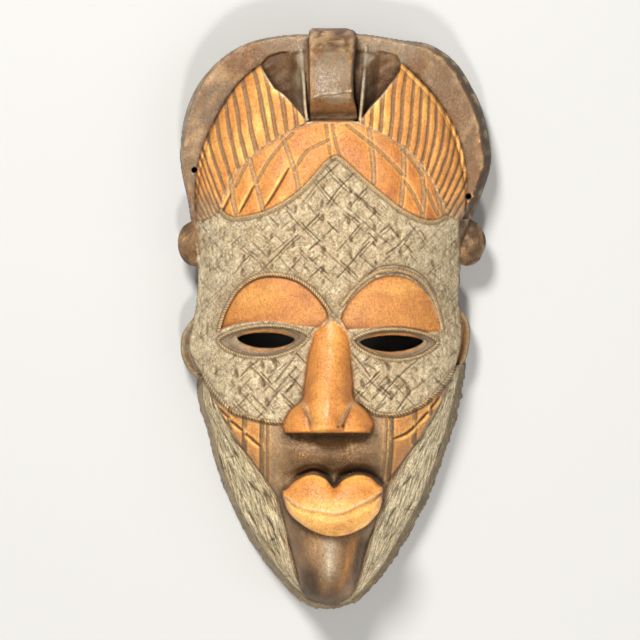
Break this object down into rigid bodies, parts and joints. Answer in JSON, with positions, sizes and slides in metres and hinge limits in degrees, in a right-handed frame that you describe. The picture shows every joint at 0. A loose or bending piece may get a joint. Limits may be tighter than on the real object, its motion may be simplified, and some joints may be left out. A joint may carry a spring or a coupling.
{
  "type": "carved wooden face mask",
  "caption": "Hollow carved wooden face mask with a fluted crest, topknot, half-moon lids, slit eyes and a long chin, lying face up on its flat back rim.",
  "frame": {"origin": "centre of the mask's outline, on the plane of its flat back rim", "axes": "+Y from the chin to the topknot, +Z out of the face, +X to the right as one looks at the face"},
  "size_m": [0.2182, 0.4078, 0.1214],
  "materials": {
    "carved_wood": "hand carved, orange-brown stain with grey kaolin rubbed fields, satin on the proud parts"
  },
  "bodies": {
    "root": {"mask": "carved_wood"}
  },
  "joints": []
}
